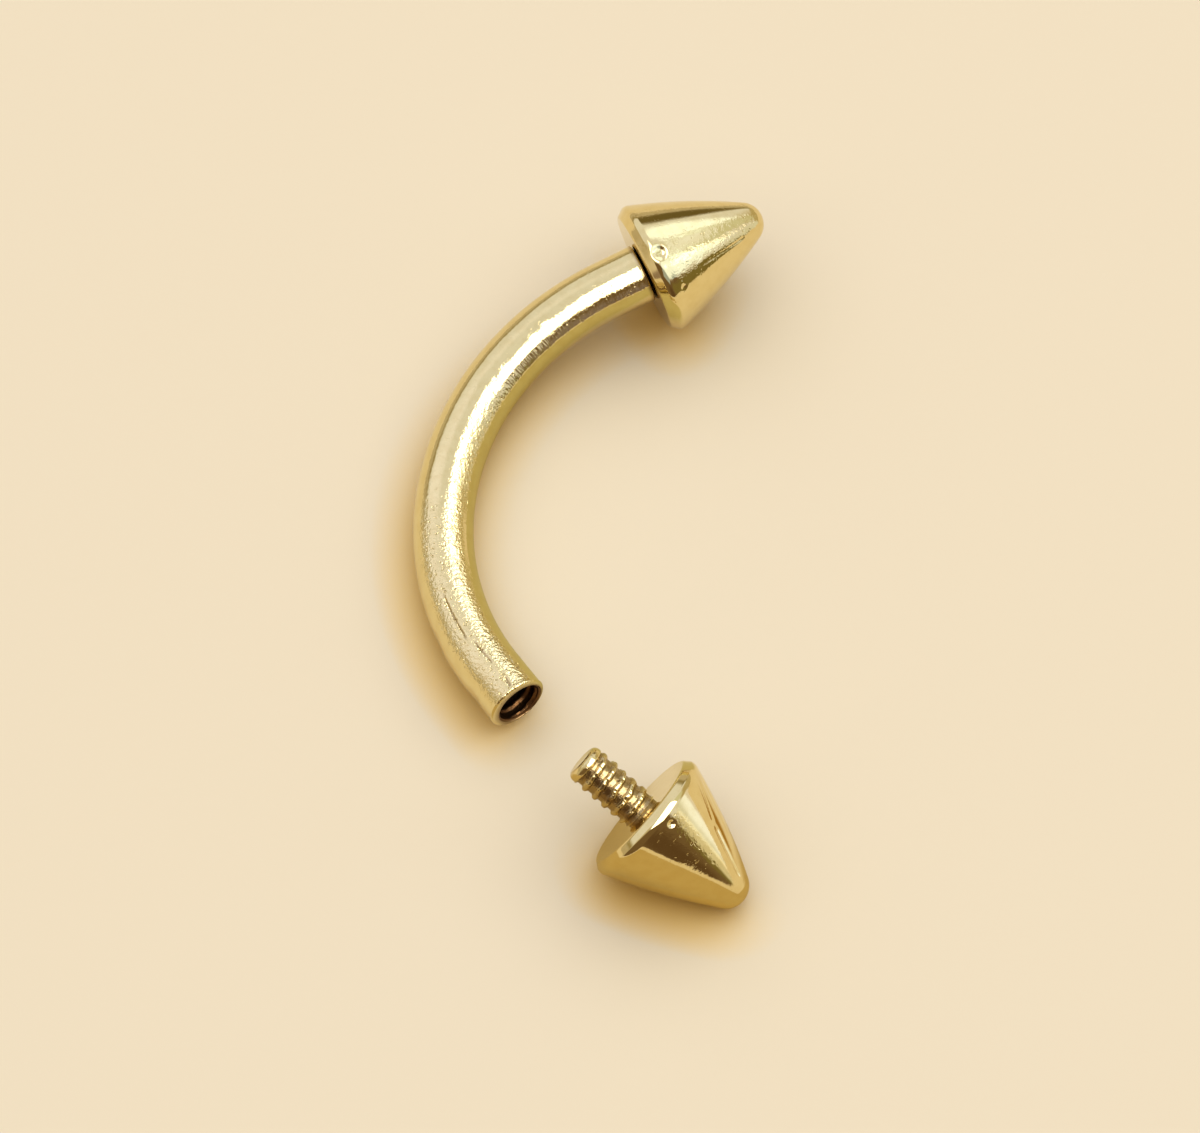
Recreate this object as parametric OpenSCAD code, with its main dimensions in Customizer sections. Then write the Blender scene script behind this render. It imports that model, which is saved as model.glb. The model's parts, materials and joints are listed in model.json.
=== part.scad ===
// Curved eyebrow barbell, lying on a surface. One cone spike is screwed into its upper end.
// The other spike is taken out and lies on its side by the open end, with its post in view.
// The bar rests as it would by itself, on the seated spike's rim and on its own bend.

/* [Bar] */
// Diameter of the round rod, 16 gauge
rod_d = 1.2; // [1:0.1:2]
// Radius of the bend, measured at the middle of the rod
bend_r = 5.53; // [4:0.01:9]
// Angle that the bend turns through
bend_angle = 101.6; // [60:0.1:130]
// Straight length at each end of the rod
end_length = 0.8; // [0.4:0.05:3]
// How far the straight ends stand proud of the bend, all round
end_proud = 0.005; // [0.003:0.001:0.01]
// How far the straight ends run back into the bend
end_lap = 0.05; // [0.02:0.01:0.1]
// Rounding of the outer edge at each end of the rod
end_round = 0.07; // [0.02:0.01:0.09]

/* [Bores] */
// Wall left around the threaded bore in each end
wall = 0.15; // [0.13:0.01:0.2]
// Countersink at the mouth of each bore
mouth_chamfer = 0.05; // [0.02:0.01:0.05]
// Room between the end of a seated post and the bottom of its bore
bottom_room = 0.1; // [0.05:0.01:0.3]

/* [Cones] */
// Widest diameter of the cone, just above its flat base
cone_d = 2.7; // [2:0.02:4]
// Length of the cone from its base to its tip
cone_length = 2.6; // [2:0.02:5]
// Radius of the rounded tip
tip_r = 0.45; // [0.2:0.01:0.6]
// Radius of the cone's side, which bulges slightly
side_r = 11.5; // [6:0.5:40]
// Rounding of the edge around the cone's base
rim_r = 0.2; // [0.05:0.01:0.3]

/* [Threaded posts] */
// Depth of the grooves of the thread
thread_depth = 0.07; // [0.04:0.01:0.1]
// Distance from one crest of the thread to the next
thread_pitch = 0.24; // [0.21:0.01:0.3]
// Number of crests between the neck and the plain end
thread_crests = 5; // [3:1:6]
// Length of the flat on each crest, between two pointed grooves
crest_flat = 0.06; // [0.04:0.01:0.09]
// Length of the neck between the cone and the thread
neck_length = 0.06; // [0.03:0.01:0.3]
// How much the neck's radius grows towards the cone
neck_flare = 0.02; // [0.01:0.01:0.05]
// Length of the plain end past the last groove
lead_length = 0.11; // [0.1:0.01:0.4]
// Rounding of the post's end
post_round = 0.09; // [0.04:0.01:0.1]

/* [Fits] */
// Radial clearance between the crests of a post and its bore
thread_room = 0.03; // [0.01:0.01:0.06]
// Gap between a seated cone's base and the end of the rod
seat_gap = 0.05; // [0.02:0.01:0.1]

/* [Layout] */
// Where the loose post's end lies from the open mouth, to the side
loose_x = 1.6; // [1.2:0.1:6]
// Where the loose post's end lies from the open mouth, beyond the bar's end
loose_y = -1.3; // [-6:0.1:-1]
// Way that the loose spike's tip points, turned from the X axis
loose_turn = -20.6; // [-60:0.1:20]

/* [Hidden] */
$fn = 96;

rod_r = rod_d / 2;
end_r = rod_r + end_proud;
bore_r = rod_r - wall;
crest_r = bore_r - thread_room;
groove_r = crest_r - thread_depth;
groove_side = (thread_pitch - crest_flat) / 2;
thread_end = neck_length + thread_crests * thread_pitch + groove_side;
post_length = thread_end + lead_length;
bore_depth = post_length - seat_gap + bottom_room;
half = bend_angle / 2;

// The cone's outline: a rim circle and a tip circle joined by the arc of the side.
// Points are [distance along the axis from the base, distance from the axis].
rim_c = [rim_r, cone_d / 2 - rim_r];
tip_c = [cone_length - tip_r, 0];
span = tip_c - rim_c;
along = (pow(side_r - rim_r, 2) - pow(side_r - tip_r, 2) + span * span) / (2 * norm(span));
across = sqrt(pow(side_r - rim_r, 2) - pow(along, 2));
side_c = rim_c + along * span / norm(span) + across * [span.y, -span.x] / norm(span);
rim_end = rim_c.x + rim_r * (rim_c.x - side_c.x) / (side_r - rim_r);
tip_start = tip_c.x + tip_r * (tip_c.x - side_c.x) / (side_r - tip_r);

// Volume and balance point of one spike, from thin slices of its outline
function circle_y(c, r, x) = c.y + sqrt(max(0, r * r - pow(x - c.x, 2)));
function cone_y(x) = x < rim_end ? circle_y(rim_c, rim_r, x)
    : x < tip_start ? circle_y(side_c, side_r, x)
    : circle_y(tip_c, tip_r, x);
function total(v) = v * [for (i = v) 1];
slices = 80;
slice = cone_length / slices;
slice_x = [for (i = [0:slices - 1]) (i + 0.5) * slice];
slice_v = [for (x = slice_x) PI * pow(cone_y(x), 2) * slice];
post_v = PI * pow((crest_r + groove_r) / 2, 2) * post_length;
spike_v = total(slice_v) + post_v;
spike_mid = (slice_v * slice_x - post_v * post_length / 2) / spike_v;

// The bar's own frame: the bend's centre is the origin and the belly of the bend is at -X.
top_dir = [sin(half), cos(half), 0];
low_dir = [sin(half), -cos(half), 0];
top_end = [-bend_r * cos(half), bend_r * sin(half), 0] + end_length * top_dir;
low_end = [-bend_r * cos(half), -bend_r * sin(half), 0] + end_length * low_dir;
seat = top_end + seat_gap * top_dir;

// Balance point of the bar with its seated spike
bend_v = PI * rod_r * rod_r * bend_r * bend_angle * PI / 180;
bend_mid = [-bend_r * sin(half) / (half * PI / 180), 0, 0];
end_v = PI * rod_r * rod_r * end_length;
ends_mid = top_end + low_end - end_length * (top_dir + low_dir) / 2;
bore_v = PI * bore_r * bore_r * bore_depth;
bores_mid = top_end + low_end - bore_depth * (top_dir + low_dir) / 2;
seated_mid = seat + spike_mid * top_dir;
bar_mid = (bend_v * bend_mid + end_v * ends_mid - bore_v * bores_mid + spike_v * seated_mid)
    / (bend_v + 2 * end_v - 2 * bore_v + spike_v);

// Resting pose of the bar: the rim and the bend touch the surface, and the balance point lies
// over the line between the two contacts. tilt is the lean of the bend's plane, uphill its way.
function upward(tilt, uphill) = [sin(tilt) * cos(uphill), sin(tilt) * sin(uphill), cos(tilt)];
function rim_over_bend(n) = (seat + rim_c.x * top_dir) * n
    - rim_c.y * sqrt(1 - pow(top_dir * n, 2)) - rim_r + bend_r * norm([n.x, n.y]) + rod_r;
function tilt_for(uphill, low = 0, high = 60, steps = 30) = steps == 0 ? low
    : let (mid = (low + high) / 2) rim_over_bend(upward(mid, uphill)) < 0
    ? tilt_for(uphill, mid, high, steps - 1)
    : tilt_for(uphill, low, mid, steps - 1);
function bend_touch(n, uphill) = -bend_r * [cos(uphill), sin(uphill), 0] - rod_r * n;
function rim_touch(n) = let (q = top_dir * (top_dir * n) - n)
    seat + rim_c.x * top_dir + rim_c.y * q / norm(q) - rim_r * n;
function off_line(uphill) = let (n = upward(tilt_for(uphill), uphill), p = bend_touch(n, uphill))
    cross(rim_touch(n) - p, bar_mid - p) * n;
function uphill_for(low, high, steps = 30) = steps == 0 ? low
    : let (mid = (low + high) / 2) off_line(mid) < 0
    ? uphill_for(mid, high, steps - 1)
    : uphill_for(low, mid, steps - 1);
rest_uphill = uphill_for(0, half);
rest_tilt = tilt_for(rest_uphill);
rest_hinge = [-sin(rest_uphill), cos(rest_uphill), 0];
rest_lift = bend_r * sin(rest_tilt) + rod_r;

// Turns a direction about the resting hinge line
function swing(v, a) = v * cos(a) + cross(rest_hinge, v) * sin(a)
    + rest_hinge * (rest_hinge * v) * (1 - cos(a));

// The loose spike lies on the bulge of its side, with its balance point over the contact.
loose_lean = atan2(spike_mid - side_c.x, -side_c.y);
loose_z = side_c.x * sin(loose_lean) + side_c.y * cos(loose_lean) + side_r;
loose_dir = [
    cos(loose_lean) * cos(loose_turn),
    cos(loose_lean) * sin(loose_turn),
    -sin(loose_lean)
];
mouth = swing(low_end, -rest_tilt);
loose_xy = [mouth.x + loose_x, mouth.y + loose_y] + post_length * [loose_dir.x, loose_dir.y];
loose_base = [loose_xy.x, loose_xy.y, loose_z];

// How far everything reaches along a direction, so that the layout can be centred
function spike_reach(base, dir, u) = max(
    (base + rim_c.x * dir) * u + rim_c.y * sqrt(1 - pow(dir * u, 2)) + rim_r,
    (base + tip_c.x * dir) * u + tip_r,
    (base - post_length * dir) * u + crest_r * sqrt(1 - pow(dir * u, 2)));
function bend_reach(u) = abs(atan2(u.y, -u.x)) < half ? bend_r * norm([u.x, u.y]) + rod_r : -bend_r;
function bar_reach(u) = max(
    bend_reach(u),
    top_end * u + end_r * sqrt(1 - pow(top_dir * u, 2)),
    low_end * u + end_r * sqrt(1 - pow(low_dir * u, 2)),
    spike_reach(seat, top_dir, u));
function reach(u) = max(bar_reach(swing(u, rest_tilt)), spike_reach(loose_base, loose_dir, u));
centre_x = (reach([1, 0, 0]) - reach([-1, 0, 0])) / 2;
centre_y = (reach([0, 1, 0]) - reach([0, -1, 0])) / 2;

// Puts the bar, drawn in its own frame, down on the surface
module rested() {
    translate([-centre_x, -centre_y, rest_lift])
        rotate(a = -rest_tilt, v = rest_hinge)
            children();
}

// Stands things on an end of the bend, with +Z out along the rod; side is 1 above, -1 below
module at_end(side) {
    translate([-bend_r * cos(half), side * bend_r * sin(half), 0])
        rotate([0, 90, side * (90 - half)])
            children();
}

// One straight end of the rod, with its outer edge rounded
module straight_end() {
    rotate_extrude() {
        translate([0, -end_lap])
            square([end_r, end_lap + end_length - end_round]);
        square([end_r - end_round, end_length]);
        translate([end_r - end_round, end_length - end_round])
            intersection() {
                circle(r = end_round);
                square(end_round);
            }
    }
}

// The blind bore of one end, with its countersink
module bore() {
    translate([0, 0, end_length - bore_depth])
        cylinder(r = bore_r, h = bore_depth + mouth_chamfer);
    translate([0, 0, end_length - mouth_chamfer])
        cylinder(r1 = bore_r, r2 = bore_r + 2 * mouth_chamfer, h = 2 * mouth_chamfer);
}

// The cone, base at z = 0 and tip up, in the shape of a blunt spike with slightly full sides
module cone() {
    rotate_extrude() {
        square([rim_c.y, rim_end]);
        intersection() {
            translate([rim_c.y, rim_c.x])
                circle(r = rim_r);
            translate([rim_c.y, 0])
                square([rim_r, rim_end]);
        }
        intersection() {
            translate([side_c.y, side_c.x])
                circle(r = side_r);
            translate([0, rim_end])
                square([cone_d, tip_start - rim_end]);
        }
        intersection() {
            translate([0, tip_c.x])
                circle(r = tip_r);
            translate([0, tip_start])
                square([cone_d, cone_length]);
        }
    }
}

// The threaded post, hanging from z = 0; each turn of the thread is drawn as a ring
module post() {
    sunk = cone_length / 4;
    neck_r = groove_r + neck_flare;
    rings = [for (i = [0:thread_crests - 1]) for (p = [
        [crest_r, groove_side],
        [crest_r, groove_side + crest_flat],
        [groove_r, thread_pitch]
    ]) [p.x, -(neck_length + i * thread_pitch + p.y)]];
    rotate_extrude() {
        polygon(concat(
            [[0, sunk], [neck_r, sunk], [neck_r, 0], [groove_r, -neck_length]],
            rings,
            [[crest_r, -thread_end], [crest_r, -(post_length - post_round)]],
            [[0, -(post_length - post_round)]]));
        translate([0, -post_length])
            square([crest_r - post_round, 2 * post_round]);
        translate([crest_r - post_round, post_round - post_length])
            circle(r = post_round);
    }
}

module spike() {
    cone();
    post();
}

module curved_bar() {
    color([0.78, 0.66, 0.36])
        rested()
            difference() {
                union() {
                    rotate([0, 0, 180 - half])
                        rotate_extrude(angle = bend_angle)
                            translate([bend_r, 0])
                                circle(r = rod_r);
                    at_end(1)
                        straight_end();
                    at_end(-1)
                        straight_end();
                }
                at_end(1)
                    bore();
                at_end(-1)
                    bore();
            }
}

module seated_spike() {
    color([0.82, 0.7, 0.38])
        rested()
            at_end(1)
                translate([0, 0, end_length + seat_gap])
                    spike();
}

module loose_spike() {
    color([0.82, 0.7, 0.38])
        translate([loose_base.x - centre_x, loose_base.y - centre_y, loose_base.z])
            rotate([0, 90 + loose_lean, loose_turn])
                spike();
}

curved_bar();
seated_spike();
loose_spike();
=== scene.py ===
"""A gold-coloured curved eyebrow barbell: one cone spike in its upper end, one lying by its open end."""
import json
import math

import bmesh
import bpy
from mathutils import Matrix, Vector, noise

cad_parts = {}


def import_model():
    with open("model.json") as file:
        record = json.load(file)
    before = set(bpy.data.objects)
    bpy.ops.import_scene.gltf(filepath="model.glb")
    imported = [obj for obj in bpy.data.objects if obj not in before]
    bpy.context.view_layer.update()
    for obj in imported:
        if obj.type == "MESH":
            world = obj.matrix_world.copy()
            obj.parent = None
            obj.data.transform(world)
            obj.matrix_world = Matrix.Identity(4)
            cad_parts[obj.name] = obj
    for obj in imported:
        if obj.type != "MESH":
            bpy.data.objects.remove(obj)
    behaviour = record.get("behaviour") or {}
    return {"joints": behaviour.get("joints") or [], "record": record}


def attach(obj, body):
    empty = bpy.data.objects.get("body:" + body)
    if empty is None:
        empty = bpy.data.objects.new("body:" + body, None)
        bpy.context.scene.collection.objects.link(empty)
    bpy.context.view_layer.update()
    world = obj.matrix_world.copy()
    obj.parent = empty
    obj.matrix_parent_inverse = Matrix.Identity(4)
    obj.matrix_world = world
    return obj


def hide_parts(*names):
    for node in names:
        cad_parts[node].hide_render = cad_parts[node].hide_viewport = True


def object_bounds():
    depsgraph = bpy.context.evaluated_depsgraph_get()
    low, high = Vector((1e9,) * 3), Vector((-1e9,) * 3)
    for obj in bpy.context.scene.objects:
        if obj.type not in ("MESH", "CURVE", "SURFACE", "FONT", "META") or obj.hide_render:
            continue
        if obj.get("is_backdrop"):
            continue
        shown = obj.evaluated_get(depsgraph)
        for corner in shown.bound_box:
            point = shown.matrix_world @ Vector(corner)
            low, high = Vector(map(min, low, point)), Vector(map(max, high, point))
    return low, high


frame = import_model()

cad_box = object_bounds()
mounts = {m["name"]: m for m in frame["record"]["mounts"]}

MM = 0.001

# The rod, in millimetres
ROD_R = 0.6
BEND_R = 5.53
END_LENGTH = 0.8
END_PROUD = 0.005
END_ROUND = 0.045
TOP_END_ROUND = 0.045
BORE_R = mounts["open_bore"]["dims"]["r_mm"]
BORE_DEPTH = 1.51
# The open mouth's bore is off centre, so its lip is thin on the under side
MOUTH_CHAMFER = 0.035
MOUTH_SHIFT = 0.07
THIN_LIP_ANGLE = 235
# Rows of the countersink, as (depth, share of its width)
FLARE_ROWS = ((0.03, 0.5), (0.008, 0.9), (0, 1))
# Depths between which the bore's thread begins, and between which an off-centre bore comes back to the
# rod's axis; heights over its bottom between which the thread ends
BORE_THREAD_START = (0.05, 0.12)
SHIFT_END = (0.3, 0.9)
BORE_PLAIN = (0.2, 0.1)
# The depths over which the bore turns brown, from just outside its mouth: dirt, and painted shade inside the
# bore
BORE_DIRT_AND_SHADE = (-0.04, 0.02)
# The lengths over which the rod's wear fades toward its lower and its upper end
RELIEF_START = 0.12
RELIEF_END = 0.1

# The cones, in millimetres: a bulged side, a rounded rim that ends in an edge, and a band down to the base;
# turns are from the way out, in degrees, and negative ones lean to the base
CONE_D = 2.7
CONE_LENGTH = 2.6
TIP_R = 0.45
SIDE_R = 11.5
RIM_R = 0.2
EDGE_TURN = -20
EDGE_R = 0.012
BAND_TURN = -38
BASE_ROUND = 0.08
SEAT_GAP = 0.05
# How far the seated spike's base reaches down toward the rod's end
SEATED_FOOT = 0.032

# The threaded posts, in millimetres
CREST_R = mounts["loose_post"]["dims"]["r_mm"]
THREAD_DEPTH = 0.078
THREAD_PITCH = 0.24
BORE_THREAD_DEPTH = 0.055
HIDDEN_THREAD_DEPTH = 0.018
NECK_LENGTH = 0.07
NECK_FLARE = 0.02
POST_LENGTH = 1.46
POST_TIP = 0.15
POST_ROUND = 0.12
POST_MOUNT_MID = 0.76
# The lengths over which the thread and its dirt and painted shade begin and end, the corner between base and
# post, and how much of the grooves' depth the plain end fills
THREAD_FADE = 0.06
DIRT_AND_SHADE_FADE = 0.05
NECK_CORNER = 0.02
POST_END_FILLED = 0.5

# How finely the surfaces are drawn
ROD_SIDES = 160
SPIKE_SIDES = 240
ROD_STEP = 0.03
BORE_STEP = 0.025
THREAD_STEP = 0.01
BASE_STEP = 0.06
LIP_STEP = 0.02
LOW_LIP_ROWS = 8
TOP_LIP_ROWS = 5
# Rows of the cone's tip, side, rim, edge, band and base rounding
TIP_ROWS = 20
SIDE_ROWS = 80
RIM_ROWS = 14
EDGE_ROWS = 3
BAND_ROWS = 6
BASE_ROWS = 10
# Rings on the post's flat end, as shares of its radius
POST_END_ROWS = (0.66, 0.33, 0)
# Edges sharper than this, in degrees, are shaded sharp; a smaller radius than the second is a point
SHARP_ANGLE = 50
TINY = 1e-6

# Wear on the rod, as (distance from the lower end, angle from the bend's outside in degrees):
# creases as two ends, width and depth, and hollows as a place, radius and depth, in millimetres
ROD_CREASES = (
    ((2.60, 78), (1.39, 82), 0.034, 0.026),
    ((1.36, 91), (0.70, 95), 0.034, 0.024),
    ((0.34, 96), (0.10, 93), 0.045, 0.026),
)
ROD_HOLLOWS = (
    ((1.98, 5), 0.30, 0.012),
    ((0.65, 4), 0.30, 0.012),
    ((5.1, 118), 0.04, 0.012),
    ((8.9, 122), 0.35, 0.010),
    ((7.4, 108), 0.30, 0.008),
    ((3.3, 100), 0.30, 0.010),
)
# Wear on the spikes, as (height over the base, angle in degrees)
SEATED_HOLLOWS = (
    ((0.30, 112), 0.19, 0.045),
    ((0.47, 150), 0.06, 0.012),
    ((0.36, 165), 0.05, 0.010),
)
SEATED_CREASES = (
    ((0.9, 141), (2.1, 146), 0.05, 0.008),
)
LOOSE_HOLLOWS = (
    ((0.40, 100), 0.08, 0.035),
    ((0.37, 114), 0.024, 0.005),
    ((0.55, 109), 0.024, 0.006),
    ((0.60, 112), 0.024, 0.006),
    ((0.58, 106), 0.024, 0.005),
    ((0.70, 100), 0.022, 0.004),
    ((0.65, 93), 0.022, 0.004),
    ((1.55, 97), 0.024, 0.006),
)
LOOSE_CREASES = (
    ((0.32, 46), (1.09, 64), 0.06, 0.010),
    ((1.09, 64), (2.25, 74), 0.06, 0.018),
    ((0.32, 38), (1.60, 50), 0.07, 0.008),
)
# The share of a hollow that is flat, and the share of a crease over which each of its ends tapers
HOLLOW_FLAT = 0.35
CREASE_TAPER = 0.15

# Slight unevenness of the rod and the cones, in millimetres
WAVE_DEPTH = 0.0035
RIPPLE_DEPTH = 0.0012
# Noise over the surfaces, as (radius that it is taken on, waves for each millimetre, seed)
WAVE_NOISE = (1.3, 1, 3)
RIPPLE_NOISE = (0.8, 5, 7)
THREAD_WOBBLE_NOISE = (1, 2.6)
THREAD_BATTER_NOISE = (1, 4.1, 5)
THREAD_CHIP_NOISE = (1, 11, 9)
# The next two break up painted shade: in the gap by the seated spike, and down one side of the post
SEAT_SHADE_NOISE = (ROD_R, 4.5, 2)
POST_SHADE_NOISE = (CREST_R, 3.0, 4)
# The cones' ripples, without the radius
CONE_NOISE = (2.5, 11)
# How the thread is worn: its wobble in turns, how far it is battered and chipped, as shares of its height,
# and the levels between which a cosine along it rises from groove to crest
THREAD_WOBBLE = 0.16
THREAD_BATTERED = 0.5
THREAD_CHIPPED = 0.2
RIDGE_LEVELS = (-0.35, 0.98)
BORE_THREAD_WORN = 0.8

# Where the lower arm ends and the upper arm begins, as soft changes along the rod in millimetres
LOWER_ARM_END = (3.6, 5.2)
UPPER_ARM_START = (6.4, 8.2)
# Bands of angle on the rod in degrees, as low, rise, fall and high: grainy, ribbed, and painted shade on the
# mouth's lip
LOWER_GRAIN_TURNS = (34, 60, 134, 146)
HOLLOW_SIDE_TURNS = (105, 122, 150, 158)
RIB_TURNS = (122, 132, 152, 160)
LIP_SHADE_TURNS = (170, 205, 310, 345)
# How strong the rod's grain is, from 0 to 1: all over, on the belly, and on the upper arm
PLAIN_GRAIN = 0.08
BELLY_GRAIN = 0.9
UPPER_GRAIN = 0.25
# Dirt and painted shade, from 0 to 1: in a crease it is dirt, the depth over DIRTY_DEPTH millimetres, up to
# CREASE_DIRT; on the mouth's lip it is painted shade
DIRTY_DEPTH = 0.035
CREASE_DIRT = 0.5
LIP_SHADE = 0.6
# Distances from the mouth, and from the end by the seated spike, between which the painted shade on the rod
# fades
MOUTH_SHADE_REACH = (0.03, 0.12)
SEAT_SHADE_REACH = (0.11, 0.03)
BORE_GRAIN = 0.3

# The same for the spikes: bands of angle, and of height over the base in millimetres
SEATED_MIDDLE_TURNS = (92, 110, 140, 152)
SEATED_MIDDLE_START = (0.30, 0.45)
SEATED_TOP_TURNS = (20, 40, 62, 78)
SEATED_GRAIN = 0.04
SEATED_MIDDLE_GRAIN = 0.16
SEATED_TOP_GRAIN = 0.08
SEATED_STREAKS = 0.35
SCUFF_TURNS = (84, 94, 112, 124)
SCUFF_HEIGHTS = (0.25, 0.35, 1.2, 1.7)
LOOSE_GRAIN = 0.02
SCUFF_GRAIN = 0.20
SCUFF_STREAKS = 0.04
# Down one side of the post a dark reflection is painted on as shade
POST_SHADE_TURNS = (112, 128, 150, 168)
POST_GRAIN = 0.5
# The grooves are painted darker, as dirt and as shade
GROOVE_DIRT_AND_SHADE = 0.6
POST_SHADE = 0.6
POST_SHADE_LEVELS = (-0.3, 0.3)
MOST_POST_DIRT_AND_SHADE = 0.8

# Noise scales are for each millimetre, depths are in millimetres
GRAIN_SCALE = 14.0
GRAIN_DEPTH = 0.020
STREAK_DEPTH = 0.016
PIT_SCALE = 11.0
PIT_DEPTH = 0.012
# The brown of dirt, and of painted shade: in the gap by the seated spike, inside the bores, in the post's
# grooves, down one side of the post and on the mouth's lip
DIRT_AND_SHADE_COLOR = (0.22, 0.12, 0.05)
# The two golds: colour, worn colour, roughness, and how their streaks are stretched and scaled
BAR_GOLD = ((0.83, 0.72, 0.41), (0.80, 0.68, 0.37), 0.06, (0.15, 0.15, 1), 17.0)
SPIKE_GOLD = ((0.84, 0.72, 0.40), (0.81, 0.68, 0.36), 0.05, (1, 1, 0.12), 9.0)
# The sockets of a node that mixes two colours
MIX_FACTOR = 0
MIX_ONE = 6
MIX_TWO = 7
MIX_RESULT = 2
# The noise in the golds: no stretch, the detail of clouds and pits, and the detail and roughness of the grain
EVEN = (1, 1, 1)
CLOUD_DETAIL = 4
PIT_DETAIL = 1
GRAIN_NOISE = (2, 0.6)
CLOUD_SCALE = 5.0
CLOUD_LEVELS = (0.35, 0.7)
PIT_LEVELS = (0.66, 0.74)
# What full grain, and full dirt and painted shade, add to the roughness
GRAIN_ROUGHNESS = 0.03
DIRT_AND_SHADE_ROUGHNESS = 0.3

# The camera: the photograph's width and the focal length in pixels, sensor and places in millimetres,
# clip distances in metres, and the gamma of the view
PHOTO_WIDTH = 1200
FOCAL_PIXELS = 4074.9
SENSOR_WIDTH = 36
CLIP_START = 0.002
CLIP_END = 5
VIEW_GAMMA = 0.8
CAMERA_PLACE = (8.84182127, -34.942259, 71.62707719)
CAMERA_TARGET = (-0.30581507, -0.50561336, 0)

# The floor: half its width in metres, its colour, and the warm brown contact shade painted on it close to the
# gold
FLOOR_HALF = 0.6
FLOOR_COLOR = (0.665, 0.59, 0.45)
FLOOR_CONTACT_SHADE = (0.75, 0.51, 0.13)
# The contact shade on the floor: where it looks for cover, as azimuth and elevation, how far it looks in
# millimetres, and how open a place is, from 0 to 1, where the shade is full and where it ends
CONTACT_FROM = (82, 28)
CONTACT_REACH = 1.0
CONTACT_OPEN = (0.30, 0.82)
CONTACT_SAMPLES = 2
# How much of the contact shade the gold doesn't see
MIRRORED_LIT = 0.6
# Painted shade on the floor that only the gold's reflections see: half the width of the soft edges in
# millimetres, and for each patch x, y and radius in millimetres, and colour
PATCH_EDGE = 0.5
MIRRORED_FLOOR_SHADE = (
    (0, 0, 4, (0.50, 0.44, 0.24)),
    (2, -22, 17, (0.50, 0.39, 0.19)),
    (6.8, -3.2, 1.2, (0.38, 0.24, 0.07)),
)

# The room: its horizon's heights from low to high, and its colours below and above it
ROOM_HORIZON = (0.12, 0.36)
ROOM_LOW = (0.66, 0.58, 0.46)
ROOM_HIGH = (0.92, 0.93, 1.05)
# A dark ledge round the room
LEDGE_HEIGHTS = (0.14, 0.24, 0.36)
LEDGE_COLOR = (0.46, 0.39, 0.23)
# Round parts of the room: azimuth from the X axis, elevation, inner and outer angle in degrees, colour
ROOM_PATCHES = (
    (48, 8, 22, 34, (0.64, 0.55, 0.36)),
    (96, 19, 5, 13, (0.24, 0.19, 0.08)),
    (-130, 38, 22, 34, (0.68, 0.61, 0.48)),
    (36, 46, 12, 20, (0.80, 0.81, 0.72)),
    (-68, 5, 56, 62, (0.26, 0.18, 0.10)),
    (-44, 4, 8, 22, (0.19, 0.12, 0.06)),
    (13, 9, 9, 15, (0.86, 0.88, 0.90)),
    (-8, 8, 8, 14, (0.30, 0.25, 0.10)),
)

# The windows overhead, at a height in metres: name, edges in x and in y as shares of that height, colour,
# and the pieces that mirror them
WINDOW_HEIGHT = 0.3
WINDOWS = (
    ("bar_end_window", (-0.12, 0.82), (-0.70, -0.03), (2.9, 2.9, 3.0), ("curved_bar",)),
    ("bar_window", (0.2, 0.86), (-0.03, 0.2), (2.9, 2.9, 3.0), ("curved_bar",)),
    ("bar_upper_window", (0.06, 0.98), (0.2, 0.7), (2.9, 2.9, 3.0), ("curved_bar",)),
    ("loose_window", (-0.02, 1.22), (-0.62, 0.44), (2.9, 2.9, 3.0), ("loose_spike",)),
    ("seated_window", (0.5, 2.0), (-1.1, 0.31), (0.27, 0.42, 0.62), ("seated_spike",)),
)

# The soft boxes: their distance in metres, the share of their width over which their edges fade, and for
# each its name, azimuth, elevation, half width and half height in degrees, colour, and the pieces that
# mirror it; a box that no piece mirrors lights the floor
LIGHT_DISTANCE = 0.4
PANEL_SOFTNESS = 0.3
SOFT_BOXES = (
    ("bar_panel", 78, 42, 20, 15, (1.0, 1.1, 1.4), ("curved_bar",)),
    ("bar_low_panel", 44, 33, 24, 13, (0.6, 0.6, 0.75), ("curved_bar",)),
    ("bar_outer_side", 184, 46, 38, 30, (0.16, 0.15, 0.26), ("curved_bar",)),
    ("bar_front", -36, 14, 26, 18, (0.14, 0.15, 0.22), ("curved_bar",)),
    ("seated_panel", 76, 44, 18, 12, (0.38, 0.52, 0.70), ("seated_spike",)),
    ("seated_middle", 38, 50, 16, 10, (0.27, 0.32, 0.60), ("seated_spike",)),
    ("seated_lamp", 14, 32, 5, 4, (0.7, 0.7, 0.7), ("seated_spike",)),
    ("seated_side", 9, 42, 8, 6.5, (0.8, 0.8, 0.8), ("seated_spike",)),
    ("seated_ceiling", 0, 88, 20, 20, (2.4, 2.4, 2.5), ("seated_spike",)),
    ("seated_front", -135, 8, 40, 30, (0.16, 0.15, 0.17), ("seated_spike",)),
    ("loose_side", -4, 8, 11, 14, (0.55, 0.55, 0.58), ("loose_spike",)),
    ("loose_pale_side", 22, 3, 20, 15, (0.30, 0.36, 0.62), ("loose_spike",)),
    ("key", 58, 60, 34, 28, (0.62, 0.62, 0.62), ()),
    ("fill", 0, 90, 55, 55, (0.69, 0.69, 0.68), ()),
)


def unit(v):
    return Vector(v).normalized()


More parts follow.
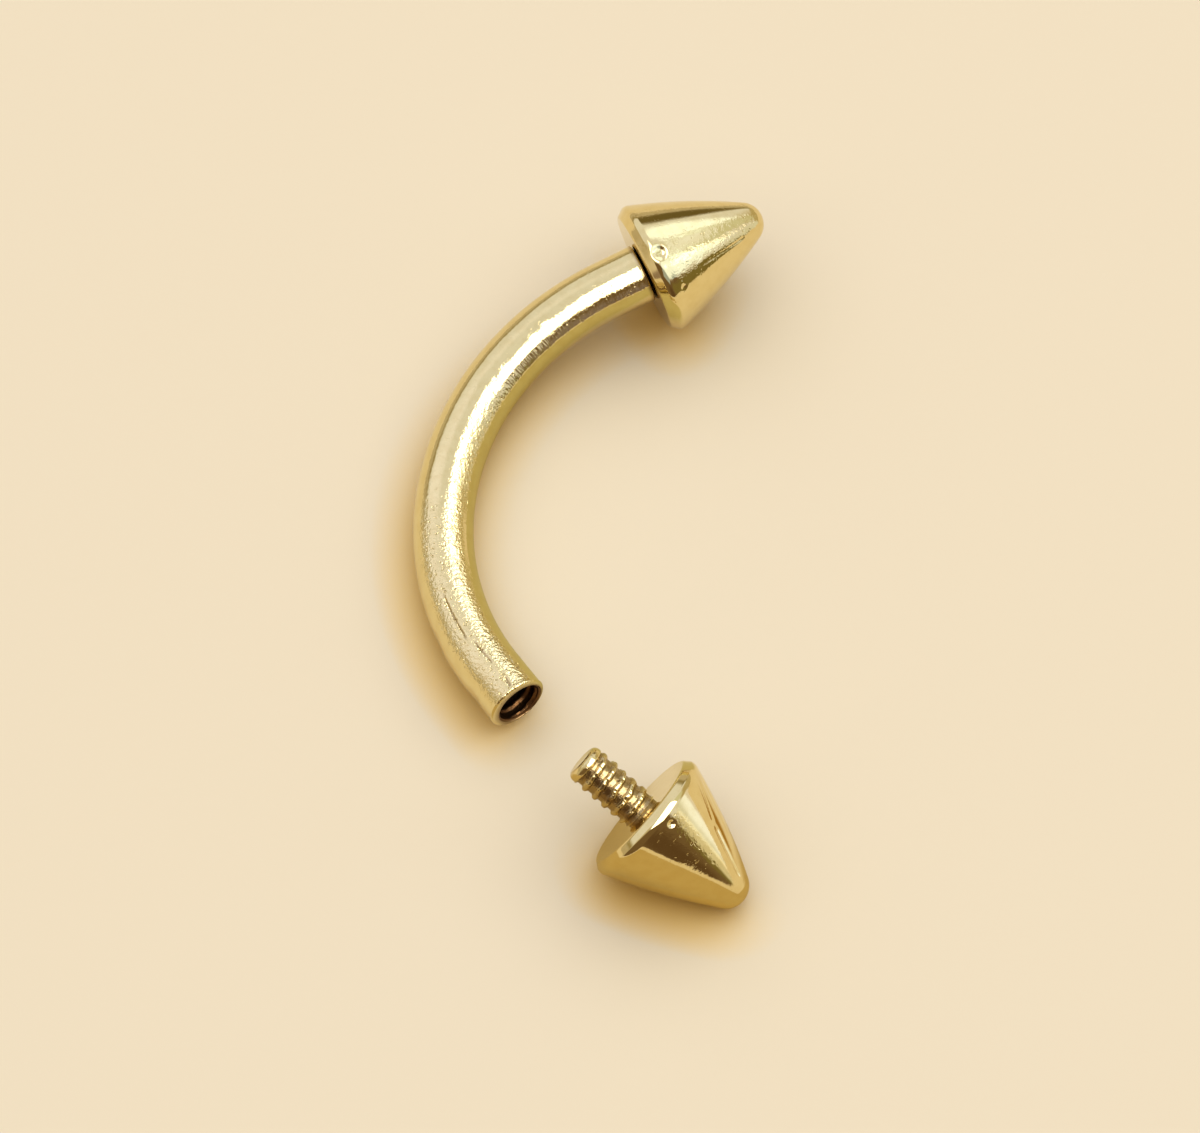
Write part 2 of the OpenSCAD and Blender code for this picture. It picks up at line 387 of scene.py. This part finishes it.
# Directions and places of the bar, from its mounts and its joint
low_dir = unit(mounts["open_bore"]["axis"])
top_dir = unit(frame["joints"][0]["axis"])
hollow_dir = (top_dir + low_dir).normalized()
end_to_end = (top_dir - low_dir).normalized()
plane_normal = hollow_dir.cross(end_to_end)
half_bend = top_dir.angle(end_to_end)
belly = Vector(mounts["skin_channel"]["pos_m"]) / MM
bend_centre = belly + BEND_R * hollow_dir
bend_length = 2 * half_bend * BEND_R
rod_length = bend_length + 2 * END_LENGTH


def out_dir(turn):
    """Away from the bend's centre, where turn runs from -half_bend below to half_bend above."""
    return math.sin(turn) * end_to_end - math.cos(turn) * hollow_dir


low_end = bend_centre + BEND_R * out_dir(-half_bend) + END_LENGTH * low_dir
top_end = bend_centre + BEND_R * out_dir(half_bend) + END_LENGTH * top_dir


def rod_place(a):
    """Middle of the rod and the way out from the bend, at distance a along it from its lower end."""
    if a <= END_LENGTH:
        return low_end - a * low_dir, out_dir(-half_bend)
    if a >= rod_length - END_LENGTH:
        return top_end - (rod_length - a) * top_dir, out_dir(half_bend)
    turn = (a - END_LENGTH) / BEND_R - half_bend
    return bend_centre + BEND_R * out_dir(turn), out_dir(turn)


def smooth(low, high, x):
    """0 below low, 1 above high, with a soft change between them."""
    t = min(1.0, max(0.0, (x - low) / (high - low)))
    return t * t * (3 - 2 * t)


def between(low, rise, fall, high, x):
    """0 outside low to high, 1 from rise to fall."""
    return smooth(low, rise, x) * (1 - smooth(fall, high, x))


def round_noise(along, angle, r, scale, seed=0.0):
    """Smooth noise from -1 to 1 over a round surface; scale is in waves for each millimetre."""
    at = Vector((r * math.cos(angle), r * math.sin(angle), along + seed))
    return noise.noise(scale * at)


def unrolled(place, along, angle, r):
    """Steps along and around from a place, given as (along, degrees), to a point of a round surface."""
    turn = (angle - math.radians(place[1]) + math.pi) % (2 * math.pi) - math.pi
    return Vector((along - place[0], turn * r))


def wear(along, angle, r, hollows, creases):
    """Depth of the hollows and creases at a point, in millimetres."""
    depth = 0.0
    for place, radius, deep in hollows:
        if abs(along - place[0]) < radius:
            depth += deep * (1 - smooth(HOLLOW_FLAT, 1, unrolled(place, along, angle, r).length / radius))
    for start, end, width, deep in creases:
        if min(start[0], end[0]) - width < along < max(start[0], end[0]) + width:
            step = unrolled(start, along, angle, r)
            line = unrolled(start, end[0], math.radians(end[1]), r)
            t = min(1.0, max(0.0, step.dot(line) / line.length_squared))
            fade = smooth(0, CREASE_TAPER, t) * (1 - smooth(1 - CREASE_TAPER, 1, t))
            depth += deep * fade * (1 - smooth(0, 1, (step - t * line).length / width))
    return depth


def thread_shape(along, angle, worn):
    """Height of a right-handed thread, 0 in its grooves and near 1 on its crests, battered where worn."""
    wobble = worn * THREAD_WOBBLE * round_noise(along, angle, *THREAD_WOBBLE_NOISE)
    phase = along / THREAD_PITCH + angle / (2 * math.pi) + wobble
    ridge = smooth(*RIDGE_LEVELS, math.cos(2 * math.pi * phase))
    battered = 0.5 + 0.5 * round_noise(along, angle, *THREAD_BATTER_NOISE)
    chips = 0.5 + 0.5 * round_noise(along, angle, *THREAD_CHIP_NOISE)
    return ridge * (1 - worn * (THREAD_BATTERED * battered + THREAD_CHIPPED * chips))


class Skin:
    """A closed surface drawn ring by ring, from one point on its axis to another."""

    def __init__(self, sides):
        self.sides = sides
        self.points = []
        self.straight = []
        self.finish = []
        self.rings = []

    def ring(self, middle, across, up, along, radius, finish=None):
        """Adds a ring; radius is a number or a function of the angle, and 0 adds a single point.

        finish gives how strong the grain, the streaks, and the dirt and painted shade are at an angle.
        """
        if radius == 0:
            self.rings.append([len(self.points)])
            self.points.append(middle * MM)
            self.straight.append((0.0, 0.0, along))
            self.finish.append(finish(0) if finish else (0.0, 0.0, 0.0))
            return
        ids = []
        for i in range(self.sides):
            angle = 2 * math.pi * i / self.sides
            r = radius(angle) if callable(radius) else radius
            x, y = r * math.cos(angle), r * math.sin(angle)
            ids.append(len(self.points))
            self.points.append((middle + x * across + y * up) * MM)
            self.straight.append((x, y, along))
            self.finish.append(finish(angle) if finish else (0.0, 0.0, 0.0))
        self.rings.append(ids)

    def mesh(self, name):
        faces = []
        for one, two in zip(self.rings, self.rings[1:]):
            for i in range(self.sides):
                j = (i + 1) % self.sides
                if len(one) == 1:
                    faces.append((one[0], two[i], two[j]))
                elif len(two) == 1:
                    faces.append((one[i], two[0], one[j]))
                else:
                    faces.append((one[i], two[i], two[j], one[j]))
        mesh = bpy.data.meshes.new(name)
        mesh.from_pydata(self.points, [], faces)
        shape = bmesh.new()
        shape.from_mesh(mesh)
        bmesh.ops.recalc_face_normals(shape, faces=shape.faces)
        shape.to_mesh(mesh)
        shape.free()
        mesh.shade_smooth()
        for title, values in (("straight", self.straight), ("finish", self.finish)):
            layer = mesh.attributes.new(title, "FLOAT_VECTOR", "POINT")
            layer.data.foreach_set("vector", [c for p in values for c in p])
        mesh.set_sharp_from_angle(angle=math.radians(SHARP_ANGLE))
        piece = bpy.data.objects.new(name, mesh)
        bpy.context.scene.collection.objects.link(piece)
        return piece


def steps(low, high, size):
    """Evenly spaced values from low to high, no more than size apart."""
    count = max(1, math.ceil(abs(high - low) / size))
    return [low + (high - low) * i / count for i in range(count + 1)]


def arc(centre, radius, start, end, count):
    """Points (along, out) on an arc, with angles in degrees from the way out."""
    turns = [math.radians(start + (end - start) * i / count) for i in range(count + 1)]
    return [(centre[0] + radius * math.sin(t), centre[1] + radius * math.cos(t)) for t in turns]


def rod_relief(along, angle):
    """Waves, hollows and creases of the worn rod, in millimetres; none stands proud of it."""
    wave = WAVE_DEPTH * (round_noise(along, angle, *WAVE_NOISE) - 1)
    ripple = RIPPLE_DEPTH * (round_noise(along, angle, *RIPPLE_NOISE) - 1)
    return wave + ripple - wear(along, angle, ROD_R, ROD_HOLLOWS, ROD_CREASES)


def rod_finish(along):
    """Grain on the lower arm and the belly, ribs on the upper arm, dirt in the creases, and painted shade at
    both ends: on the mouth's lip and in the gap by the seated spike.
    """
    lower = 1 - smooth(*LOWER_ARM_END, along)
    upper = smooth(*UPPER_ARM_START, along)
    belly = 1 - lower - upper
    shade_by_mouth = 1 - smooth(*MOUTH_SHADE_REACH, along)
    shade_by_seat = smooth(rod_length - SEAT_SHADE_REACH[0], rod_length - SEAT_SHADE_REACH[1], along)

    def at(angle):
        turn = math.degrees(angle)
        hollow_side = between(*HOLLOW_SIDE_TURNS, turn)
        grain = PLAIN_GRAIN + lower * between(*LOWER_GRAIN_TURNS, turn)
        grain += (BELLY_GRAIN * belly + UPPER_GRAIN * upper) * hollow_side
        ribs = upper * between(*RIB_TURNS, turn)
        dirt_and_shade = min(CREASE_DIRT, wear(along, angle, ROD_R, (), ROD_CREASES) / DIRTY_DEPTH)
        # Painted shade, in patches, in the gap by the seated spike
        patchy_shade = 0.5 + 0.5 * round_noise(along, angle, *SEAT_SHADE_NOISE)
        dirt_and_shade += patchy_shade * shade_by_seat
        # Painted shade on the inner and under side of the mouth's lip
        dirt_and_shade += LIP_SHADE * between(*LIP_SHADE_TURNS, turn) * shade_by_mouth
        return grain, ribs, dirt_and_shade
    return at


def bore_rings(skin, mouth, way_out, across, up, thread_height, shift, inward):
    """The inside of one end: its blind bottom, its tapped wall and its countersink."""
    thin = math.radians(THIN_LIP_ANGLE)

    def wall(depth):
        plain = smooth(BORE_DEPTH - BORE_PLAIN[0], BORE_DEPTH - BORE_PLAIN[1], depth)
        fade = smooth(*BORE_THREAD_START, depth) * (1 - plain)
        aside = shift * (1 - smooth(*SHIFT_END, depth))
        return lambda angle: (BORE_R + aside * math.cos(angle - thin)
                              - thread_height * fade * thread_shape(depth, angle, BORE_THREAD_WORN))

    def flare(part):
        return lambda angle: BORE_R + part * MOUTH_CHAMFER + shift * math.cos(angle - thin)

    # Dirt, and painted shade inside the bore
    def finish(depth):
        return lambda angle: (BORE_GRAIN, 0.0, smooth(*BORE_DIRT_AND_SHADE, depth))

    rows = [(BORE_DEPTH, 0), (BORE_DEPTH, BORE_R / 2)]
    rows += [(depth, wall(depth)) for depth in steps(BORE_DEPTH, MOUTH_CHAMFER, BORE_STEP)]
    rows += [(depth, flare(part)) for depth, part in FLARE_ROWS]
    if inward:
        rows.reverse()
    for depth, radius in rows:
        along = -depth if not inward else rod_length + depth
        skin.ring(mouth - depth * way_out, across, up, along, radius, finish(depth))


def curved_bar():
    """The bent rod with its open lower end and its upper end, which holds the seated spike."""
    skin = Skin(ROD_SIDES)
    end_r = ROD_R + END_PROUD
    low_lip = arc((END_ROUND, end_r - END_ROUND), END_ROUND, -90, 0, LOW_LIP_ROWS)
    top_lip = arc((TOP_END_ROUND, end_r - TOP_END_ROUND), TOP_END_ROUND, 0, -90, TOP_LIP_ROWS)
    across = rod_place(0)[1]
    bore_rings(skin, low_end, low_dir, across, plane_normal, BORE_THREAD_DEPTH, MOUTH_SHIFT, False)

    def outside(along, r):
        soft = smooth(0, RELIEF_START, along) * (1 - smooth(rod_length - RELIEF_END, rod_length, along))
        return lambda angle: r + soft * rod_relief(along, angle)

    rows = list(low_lip)
    places = steps(END_ROUND + LIP_STEP, rod_length - TOP_END_ROUND - LIP_STEP, ROD_STEP)
    rows += [(a, ROD_R) for a in places]
    rows += [(rod_length - a, r) for a, r in top_lip]
    for a, r in rows:
        middle, across = rod_place(a)
        skin.ring(middle, across, plane_normal, a, outside(a, r), rod_finish(a))
    across = rod_place(rod_length)[1]
    bore_rings(skin, top_end, top_dir, across, plane_normal, HIDDEN_THREAD_DEPTH, 0, True)
    return skin.mesh("curved_bar_skin")


def cone_outline(foot):
    """The cone's outline from its tip to its flat base, which lies foot below 0, as (height, radius)."""
    rim = Vector((RIM_R, CONE_D / 2 - RIM_R))
    tip = Vector((CONE_LENGTH - TIP_R, 0))
    span = tip - rim
    along = ((SIDE_R - RIM_R) ** 2 - (SIDE_R - TIP_R) ** 2 + span.length_squared) / (2 * span.length)
    across = math.sqrt((SIDE_R - RIM_R) ** 2 - along ** 2)
    side = rim + along * span.normalized() + across * Vector((span.y, -span.x)).normalized()
    rim_turn = math.degrees(math.atan2(rim.x - side.x, rim.y - side.y))
    tip_turn = math.degrees(math.atan2(tip.x - side.x, tip.y - side.y))
    rows = arc(tip, TIP_R, 90, tip_turn, TIP_ROWS)
    rows += arc(side, SIDE_R, tip_turn, rim_turn, SIDE_ROWS)[1:]
    rows += arc(rim, RIM_R, rim_turn, EDGE_TURN, RIM_ROWS)[1:]
    edge = arc(rim, RIM_R - EDGE_R, EDGE_TURN, EDGE_TURN, 1)[0]
    rows += arc(edge, EDGE_R, EDGE_TURN, BAND_TURN, EDGE_ROWS)[1:]

    lean = math.radians(BAND_TURN)
    start = Vector(rows[-1])
    corner_x = BASE_ROUND - foot
    corner_y = start.y + ((start.x - corner_x) * math.sin(lean) - BASE_ROUND) / math.cos(lean)
    corner = arc((corner_x, corner_y), BASE_ROUND, BAND_TURN, -90, BASE_ROWS)
    rows += [start.lerp(Vector(corner[0]), part / BAND_ROWS) for part in range(1, BAND_ROWS)]
    return rows + corner


def dented(height, r, hollows, creases):
    """The cone's radius at a height, by angle, with its ripples and wear."""
    def at(angle):
        ripple = RIPPLE_DEPTH * (round_noise(height, angle, r, *CONE_NOISE) - 1)
        return r + ripple - wear(height, angle, r, hollows, creases)
    return at


def post_root(depth):
    """The post's radius without its thread, at a depth below the cone's base."""
    end = max(0.0, depth - (POST_LENGTH - POST_ROUND))
    drop = POST_ROUND - math.sqrt(max(0.0, POST_ROUND ** 2 - end ** 2))
    full = smooth(POST_LENGTH - POST_TIP - THREAD_FADE, POST_LENGTH - POST_TIP, depth)
    flare = NECK_FLARE * (1 - smooth(0, NECK_LENGTH, depth))
    return CREST_R - THREAD_DEPTH * (1 - POST_END_FILLED * full) + flare - drop


def thread_share(depth):
    """How much of the post's thread there is: none in the neck and on the plain end."""
    ends = POST_LENGTH - POST_TIP
    starts = smooth(NECK_LENGTH, NECK_LENGTH + THREAD_FADE, depth)
    return starts * (1 - smooth(ends - THREAD_FADE, ends, depth))


def post_radius(depth):
    """The post's radius by angle, with its thread."""
    root = post_root(depth)
    cut = THREAD_DEPTH * thread_share(depth)
    return lambda angle: root + cut * thread_shape(depth, angle, 1)


def post_finish(depth):
    """Grain all over the post, dirt and painted shade in its grooves, and painted shade down one side, a dark
    reflection.
    """
    ends = POST_LENGTH - POST_TIP
    grooved = 1 - smooth(ends - DIRT_AND_SHADE_FADE, ends, depth)

    def at(angle):
        patchy_shade = smooth(*POST_SHADE_LEVELS, round_noise(depth, angle, *POST_SHADE_NOISE))
        # Painted shade, a dark reflection, in patches down one side
        painted_shade = patchy_shade * between(*POST_SHADE_TURNS, math.degrees(angle))
        # Dirt and painted shade in the grooves
        dirt_and_shade = GROOVE_DIRT_AND_SHADE * (1 - thread_shape(depth, angle, 1)) + POST_SHADE * painted_shade
        return POST_GRAIN, 0.0, grooved * min(MOST_POST_DIRT_AND_SHADE, dirt_and_shade)
    return at


def spike(name, base, way, across, foot, hollows, creases, finish):
    """A cone with its threaded post; base is the middle of its flat face and way points to its tip."""
    up = way.cross(across)
    skin = Skin(SPIKE_SIDES)
    outline = cone_outline(foot)
    for height, r in outline:
        radius = 0 if r < TINY else dented(height, r, hollows, creases)
        skin.ring(base + height * way, across, up, height, radius, finish(height))
    neck_r = CREST_R - THREAD_DEPTH + NECK_FLARE
    for r in steps(outline[-1][1], neck_r + NECK_CORNER, BASE_STEP)[1:]:
        skin.ring(base - foot * way, across, up, -foot, r)
    for depth in steps(foot + THREAD_STEP, POST_LENGTH, THREAD_STEP):
        skin.ring(base - depth * way, across, up, -depth, post_radius(depth), post_finish(depth))
    last = post_root(POST_LENGTH)
    for part in POST_END_ROWS:
        skin.ring(base - POST_LENGTH * way, across, up, -POST_LENGTH, part * last)
    return skin.mesh(name)


def seated_finish(height):
    """Grain and streaks down the middle of the side that faces the camera, and a little grain on top."""
    def at(angle):
        turn = math.degrees(angle)
        middle = between(*SEATED_MIDDLE_TURNS, turn) * smooth(*SEATED_MIDDLE_START, height)
        top = between(*SEATED_TOP_TURNS, turn)
        grain = SEATED_GRAIN + SEATED_MIDDLE_GRAIN * middle + SEATED_TOP_GRAIN * top
        return grain, SEATED_STREAKS * middle, 0.0
    return at


def loose_finish(height):
    """Grainy where the spike is scuffed, by its base on the upper side."""
    def at(angle):
        scuffed = between(*SCUFF_TURNS, math.degrees(angle)) * between(*SCUFF_HEIGHTS, height)
        return LOOSE_GRAIN + SCUFF_GRAIN * scuffed, SCUFF_STREAKS * scuffed, 0.0
    return at


def node(tree, kind, inputs=None, **settings):
    """Adds a node; inputs holds numbers, colours, or sockets of other nodes to link."""
    made = tree.nodes.new(kind)
    for key, value in settings.items():
        setattr(made, key, value)
    for key, value in (inputs or {}).items():
        if isinstance(value, bpy.types.NodeSocket):
            tree.links.new(value, made.inputs[key])
        else:
            made.inputs[key].default_value = value
    return made


def math_node(tree, operation, a, b=0.0):
    return node(tree, "ShaderNodeMath", {0: a, 1: b}, operation=operation).outputs[0]


def noise_node(tree, place, stretch, scale, detail=2.0, rough=0.5):
    """Noise over the straightened piece, from 0 to 1; stretch scales its three directions."""
    at = node(tree, "ShaderNodeVectorMath", {0: place, 1: stretch}, operation="MULTIPLY").outputs[0]
    inputs = {"Vector": at, "Scale": scale, "Detail": detail, "Roughness": rough}
    return node(tree, "ShaderNodeTexNoise", inputs).outputs["Fac"]


def band(tree, value, low, high, to_low=0.0, to_high=1.0):
    """Maps value from low..high to to_low..to_high with soft ends."""
    inputs = {"Value": value, "From Min": low, "From Max": high, "To Min": to_low, "To Max": to_high}
    made = node(tree, "ShaderNodeMapRange", inputs, interpolation_type="SMOOTHSTEP")
    return made.outputs["Result"]


def mix_color(tree, factor, one, two):
    made = node(tree, "ShaderNodeMix", data_type="RGBA")
    for key, value in ((MIX_FACTOR, factor), (MIX_ONE, one), (MIX_TWO, two)):
        if isinstance(value, bpy.types.NodeSocket):
            tree.links.new(value, made.inputs[key])
        else:
            made.inputs[key].default_value = value if key == MIX_FACTOR else (*value, 1)
    return made.outputs[MIX_RESULT]


def gold(name, color, worn, base_rough, streak_stretch, streak_scale):
    """Gold plating over steel: polished, with fine grain, pits and streaks, and a brown tint for dirt and for
    painted shade.
    """
    mat = bpy.data.materials.new(name)
    mat.use_nodes = True
    tree = mat.node_tree
    shader = tree.nodes["Principled BSDF"]
    place = node(tree, "ShaderNodeAttribute", attribute_name="straight").outputs["Vector"]
    finish = node(tree, "ShaderNodeAttribute", attribute_name="finish").outputs["Vector"]
    strength = node(tree, "ShaderNodeSeparateXYZ", {0: finish}).outputs
    grainy, streaky, dirt_and_shade_mask = strength["X"], strength["Y"], strength["Z"]

    clouds = band(tree, noise_node(tree, place, EVEN, CLOUD_SCALE, CLOUD_DETAIL), *CLOUD_LEVELS)
    grain = noise_node(tree, place, EVEN, GRAIN_SCALE, *GRAIN_NOISE)
    streaks = noise_node(tree, place, streak_stretch, streak_scale, *GRAIN_NOISE)
    pits = band(tree, noise_node(tree, place, EVEN, PIT_SCALE, PIT_DETAIL), *PIT_LEVELS)

    height = math_node(tree, "MULTIPLY", math_node(tree, "MULTIPLY", grain, grainy), GRAIN_DEPTH)
    lines = math_node(tree, "MULTIPLY", math_node(tree, "MULTIPLY", streaks, streaky), STREAK_DEPTH)
    holes = math_node(tree, "MULTIPLY", math_node(tree, "MULTIPLY", pits, grainy), PIT_DEPTH)
    height = math_node(tree, "SUBTRACT", math_node(tree, "ADD", height, lines), holes)
    bump = node(tree, "ShaderNodeBump", {"Height": height, "Strength": 1.0, "Distance": MM})

    tint = mix_color(tree, clouds, color, worn)
    # The brown tint is both dirt and painted shade
    tint = mix_color(tree, dirt_and_shade_mask, tint, DIRT_AND_SHADE_COLOR)
    tree.links.new(tint, shader.inputs["Base Color"])
    rough = band(tree, grainy, 0.0, 1.0, base_rough, base_rough + GRAIN_ROUGHNESS)
    rough = math_node(tree, "ADD", rough, math_node(tree, "MULTIPLY", dirt_and_shade_mask, DIRT_AND_SHADE_ROUGHNESS))
    tree.links.new(rough, shader.inputs["Roughness"])
    tree.links.new(bump.outputs[0], shader.inputs["Normal"])
    shader.inputs["Metallic"].default_value = 1
    return mat


def camera():
    data = bpy.data.cameras.new("camera")
    data.sensor_width = SENSOR_WIDTH
    data.lens = SENSOR_WIDTH * FOCAL_PIXELS / PHOTO_WIDTH
    data.clip_start = CLIP_START
    data.clip_end = CLIP_END
    cam = bpy.data.objects.new("camera", data)
    bpy.context.scene.collection.objects.link(cam)
    eye = Vector(CAMERA_PLACE) * MM
    target = Vector(CAMERA_TARGET) * MM
    cam.location = eye
    cam.rotation_euler = (target - eye).to_track_quat("-Z", "Y").to_euler()
    bpy.context.scene.camera = cam


def floor():
    """A plain pale floor, with a warm brown contact shade painted on it close to the gold, and painted shade
    in patches that only the gold's reflections see.
    """
    mesh = bpy.data.meshes.new("floor")
    s = FLOOR_HALF
    mesh.from_pydata([(-s, -s, 0), (s, -s, 0), (s, s, 0), (-s, s, 0)], [], [(0, 1, 2, 3)])
    obj = bpy.data.objects.new("floor", mesh)
    bpy.context.scene.collection.objects.link(obj)
    mat = bpy.data.materials.new("floor")
    mat.use_nodes = True
    tree = mat.node_tree
    shader = tree.nodes["Principled BSDF"]
    lit_way = node(tree, "ShaderNodeCombineXYZ", dict(enumerate(toward(*CONTACT_FROM)))).outputs[0]
    inputs = {"Distance": CONTACT_REACH * MM, "Normal": lit_way}
    open_air = node(tree, "ShaderNodeAmbientOcclusion", inputs, samples=CONTACT_SAMPLES).outputs["AO"]
    place = node(tree, "ShaderNodeNewGeometry").outputs["Position"]
    mirrored = node(tree, "ShaderNodeLightPath").outputs["Is Glossy Ray"]
    color = FLOOR_COLOR
    # Painted shade on the floor that only the gold's reflections see
    for x, y, radius, shade in MIRRORED_FLOOR_SHADE:
        at = node(tree, "ShaderNodeVectorMath", {0: place, 1: (x * MM, y * MM, 0)}, operation="DISTANCE")
        rim = ((radius + PATCH_EDGE) * MM, (radius - PATCH_EDGE) * MM)
        spot = band(tree, at.outputs["Value"], *rim)
        color = mix_color(tree, math_node(tree, "MULTIPLY", mirrored, spot), color, shade)
    # The contact shade is painted: close to the gold the floor turns warm brown
    lit = band(tree, open_air, *CONTACT_OPEN)
    lit = math_node(tree, "MAXIMUM", lit, math_node(tree, "MULTIPLY", mirrored, MIRRORED_LIT))
    color = mix_color(tree, lit, FLOOR_CONTACT_SHADE, color)
    tree.links.new(color, shader.inputs["Base Color"])
    shader.inputs["Roughness"].default_value = 1
    shader.inputs["Specular IOR Level"].default_value = 0
    mesh.materials.append(mat)
    obj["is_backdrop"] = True


def toward(azimuth, elevation):
    """A direction from its angle to the X axis and its height over the floor, in degrees."""
    a, e = math.radians(azimuth), math.radians(elevation)
    return Vector((math.cos(a) * math.cos(e), math.sin(a) * math.cos(e), math.sin(e)))


def soft_edges(data, share):
    """Fades a light toward its four edges, over a share of its width and height."""
    data.use_nodes = True
    tree = data.node_tree
    across = node(tree, "ShaderNodeNewGeometry").outputs["Parametric"]
    sides = node(tree, "ShaderNodeSeparateXYZ", {0: across}).outputs
    fades = []
    for side in (sides["X"], sides["Y"]):
        other = math_node(tree, "SUBTRACT", 1.0, side)
        fades.append(band(tree, math_node(tree, "MINIMUM", side, other), 0.0, share))
    strength = math_node(tree, "MULTIPLY", *fades)
    tree.links.new(strength, tree.nodes["Emission"].inputs["Strength"])


def area_light(name, place, target, size, color, seen_by, softness=0.0):
    """A rectangular light that the pieces in seen_by mirror; with no such piece it lights the floor."""
    data = bpy.data.lights.new(name, "AREA")
    data.shape = "RECTANGLE"
    data.size, data.size_y = size
    data.energy = math.pi * size[0] * size[1]
    data.color = color
    light = bpy.data.objects.new(name, data)
    bpy.context.scene.collection.objects.link(light)
    light.location = place
    light.rotation_euler = (Vector(target) - Vector(place)).to_track_quat("-Z", "Y").to_euler()
    if softness:
        soft_edges(data, softness)
    light.visible_camera = False
    light.visible_glossy = bool(seen_by)
    light.visible_diffuse = not seen_by
    if seen_by:
        group = bpy.data.collections.new(name + "_seen_by")
        for piece in seen_by:
            group.objects.link(piece)
        light.light_linking.receiver_collection = group


def lights(pieces):
    """Windows overhead, soft boxes round the object, and the floor's own key and fill."""
    for name, x_edges, y_edges, color, seen_by in WINDOWS:
        middle = (sum(x_edges) / 2 * WINDOW_HEIGHT, sum(y_edges) / 2 * WINDOW_HEIGHT)
        size = [(edges[1] - edges[0]) * WINDOW_HEIGHT for edges in (x_edges, y_edges)]
        seers = [pieces[piece] for piece in seen_by]
        area_light(name, (*middle, WINDOW_HEIGHT), (*middle, 0), size, color, seers)
    for name, azimuth, elevation, half_width, half_height, color, seen_by in SOFT_BOXES:
        size = [2 * LIGHT_DISTANCE * math.tan(math.radians(half)) for half in (half_width, half_height)]
        seers = [pieces[piece] for piece in seen_by]
        softness = PANEL_SOFTNESS if seen_by else 0.0
        place = LIGHT_DISTANCE * toward(azimuth, elevation)
        area_light(name, place, (0, 0, 0), size, color, seers, softness)


def world():
    """The room that the gold mirrors: pale above, warmer below, with a dark ledge and round patches."""
    w = bpy.data.worlds.new("studio")
    bpy.context.scene.world = w
    w.use_nodes = True
    tree = w.node_tree
    way = node(tree, "ShaderNodeTexCoord").outputs["Generated"]
    height = node(tree, "ShaderNodeSeparateXYZ", {0: way}).outputs["Z"]
    color = mix_color(tree, band(tree, height, *ROOM_HORIZON), ROOM_LOW, ROOM_HIGH)
    low, middle, high = LEDGE_HEIGHTS
    ledge = math_node(tree, "MINIMUM", band(tree, height, low, middle), band(tree, height, high, middle))
    color = mix_color(tree, ledge, color, LEDGE_COLOR)
    for azimuth, elevation, inner, outer, shade in ROOM_PATCHES:
        centre = toward(azimuth, elevation)
        dot = node(tree, "ShaderNodeVectorMath", {0: way, 1: centre}, operation="DOT_PRODUCT")
        rims = [math.cos(math.radians(angle)) for angle in (outer, inner)]
        color = mix_color(tree, band(tree, dot.outputs["Value"], *rims), color, shade)
    tree.links.new(color, tree.nodes["Background"].inputs["Color"])


bpy.context.scene.view_settings.view_transform = "Standard"
bpy.context.scene.view_settings.gamma = VIEW_GAMMA

bar_gold = gold("bar_gold", *BAR_GOLD)
bar = curved_bar()
bar.data.materials.append(bar_gold)
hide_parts("curved_bar")
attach(bar, "bar")

spike_gold = gold("spike_gold", *SPIKE_GOLD)
seated = spike("seated_spike_skin", top_end + SEAT_GAP * top_dir, top_dir, out_dir(half_bend),
               SEATED_FOOT, SEATED_HOLLOWS, SEATED_CREASES, seated_finish)
seated.data.materials.append(spike_gold)
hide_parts("seated_spike")
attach(seated, "seated_spike")

post_out = unit(mounts["loose_post"]["axis"])
loose_base = Vector(mounts["loose_post"]["pos_m"]) / MM - POST_MOUNT_MID * post_out
loose = spike("loose_spike_skin", loose_base, -post_out, unit(post_out.cross(Vector((0, 0, 1)))),
              0, LOOSE_HOLLOWS, LOOSE_CREASES, loose_finish)
loose.data.materials.append(spike_gold)
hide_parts("loose_spike")
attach(loose, "bar")

camera()
floor()
world()
lights({"curved_bar": bar, "seated_spike": seated, "loose_spike": loose})

boxes = {"cad": cad_box, "visual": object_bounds()}
{k: [list(map(float, c)) for c in v] for k, v in boxes.items()}
